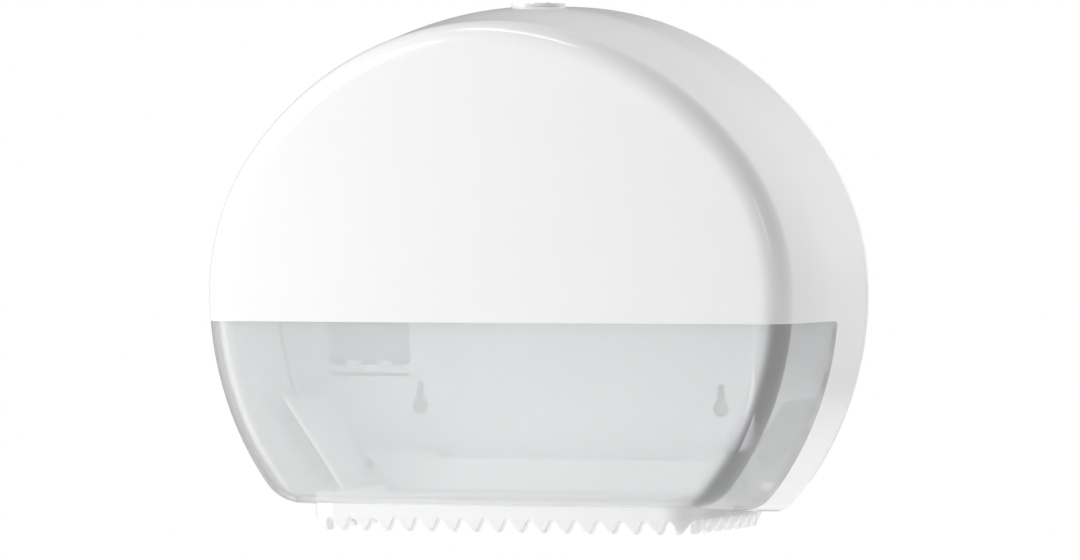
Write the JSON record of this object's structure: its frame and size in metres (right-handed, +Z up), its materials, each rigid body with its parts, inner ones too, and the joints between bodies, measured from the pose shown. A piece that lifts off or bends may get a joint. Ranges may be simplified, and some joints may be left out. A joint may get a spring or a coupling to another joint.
{
  "type": "toilet_roll_dispenser",
  "caption": "Wall-mounted jumbo toilet roll dispenser with an arched white cover, a grey translucent window and a toothed tear edge along its outlet.",
  "frame": {"origin": "on the wall face of the back plate, midway between the two keyhole screw seats", "axes": "+X to the right seen from the front, +Y into the wall, +Z up; the front of the dispenser faces -Y"},
  "size_m": [0.345, 0.121, 0.2819],
  "materials": {
    "white_plastic": "glossy moulded white",
    "plate_plastic": "fine matt moulded white",
    "window_plastic": "glossy translucent light grey",
    "grey_plastic": "matt moulded mid grey",
    "hub_plastic": "matt moulded light grey",
    "bush_plastic": "natural bearing plastic",
    "black_plastic": "matt moulded black",
    "washer_rubber": "plain dark elastomer",
    "screw_steel": "zinc plated",
    "bracket_steel": "bright zinc plated sheet",
    "lock_metal": "nickel plated"
  },
  "bodies": {
    "base": {"back_plate": "plate_plastic", "outlet_frame": "white_plastic", "tear_skirt": "white_plastic", "skirt_screws": "screw_steel", "frame_screws": "screw_steel", "hinge_pins": "screw_steel", "pin_clips": "black_plastic", "spindle_post": "bracket_steel", "spindle_screws": "screw_steel", "friction_washer": "washer_rubber", "hub_retainer": "grey_plastic", "stub_bracket": "grey_plastic", "stub_screws": "screw_steel", "stub_retainer": "grey_plastic", "strike_bracket": "bracket_steel", "strike_screws": "screw_steel"},
    "cover": {"cover_shell": "white_plastic", "cover_window": "window_plastic", "hinge_bushes": "bush_plastic", "lock_housing": "white_plastic", "lock_nut": "black_plastic"},
    "lock": {"key_cylinder": "lock_metal", "lock_cam": "bracket_steel", "cam_screw": "screw_steel"},
    "hub": {"spindle_hub": "hub_plastic", "hub_bushes": "bush_plastic"},
    "sleeve": {"stub_sleeve": "hub_plastic"}
  },
  "joints": [
    {"name": "cover_hinge", "type": "hinge", "parent": "base", "child": "cover", "pos_m": [0, -0.014, -0.0595], "axis": [1, 0, 0], "range_deg": [0, 80]},
    {"name": "lock_turn", "type": "hinge", "parent": "cover", "child": "lock", "pos_m": [0, -0.043, 0.204], "axis": [0, 0, 1], "range_deg": [0, 90]},
    {"name": "hub_spin", "type": "hinge", "parent": "base", "child": "hub", "pos_m": [0, -0.05, 0.074], "axis": [0, 1, 0], "continuous": true},
    {"name": "sleeve_spin", "type": "hinge", "parent": "base", "child": "sleeve", "pos_m": [-0.126, -0.05, 0.054], "axis": [0, 1, 0], "continuous": true}
  ]
}
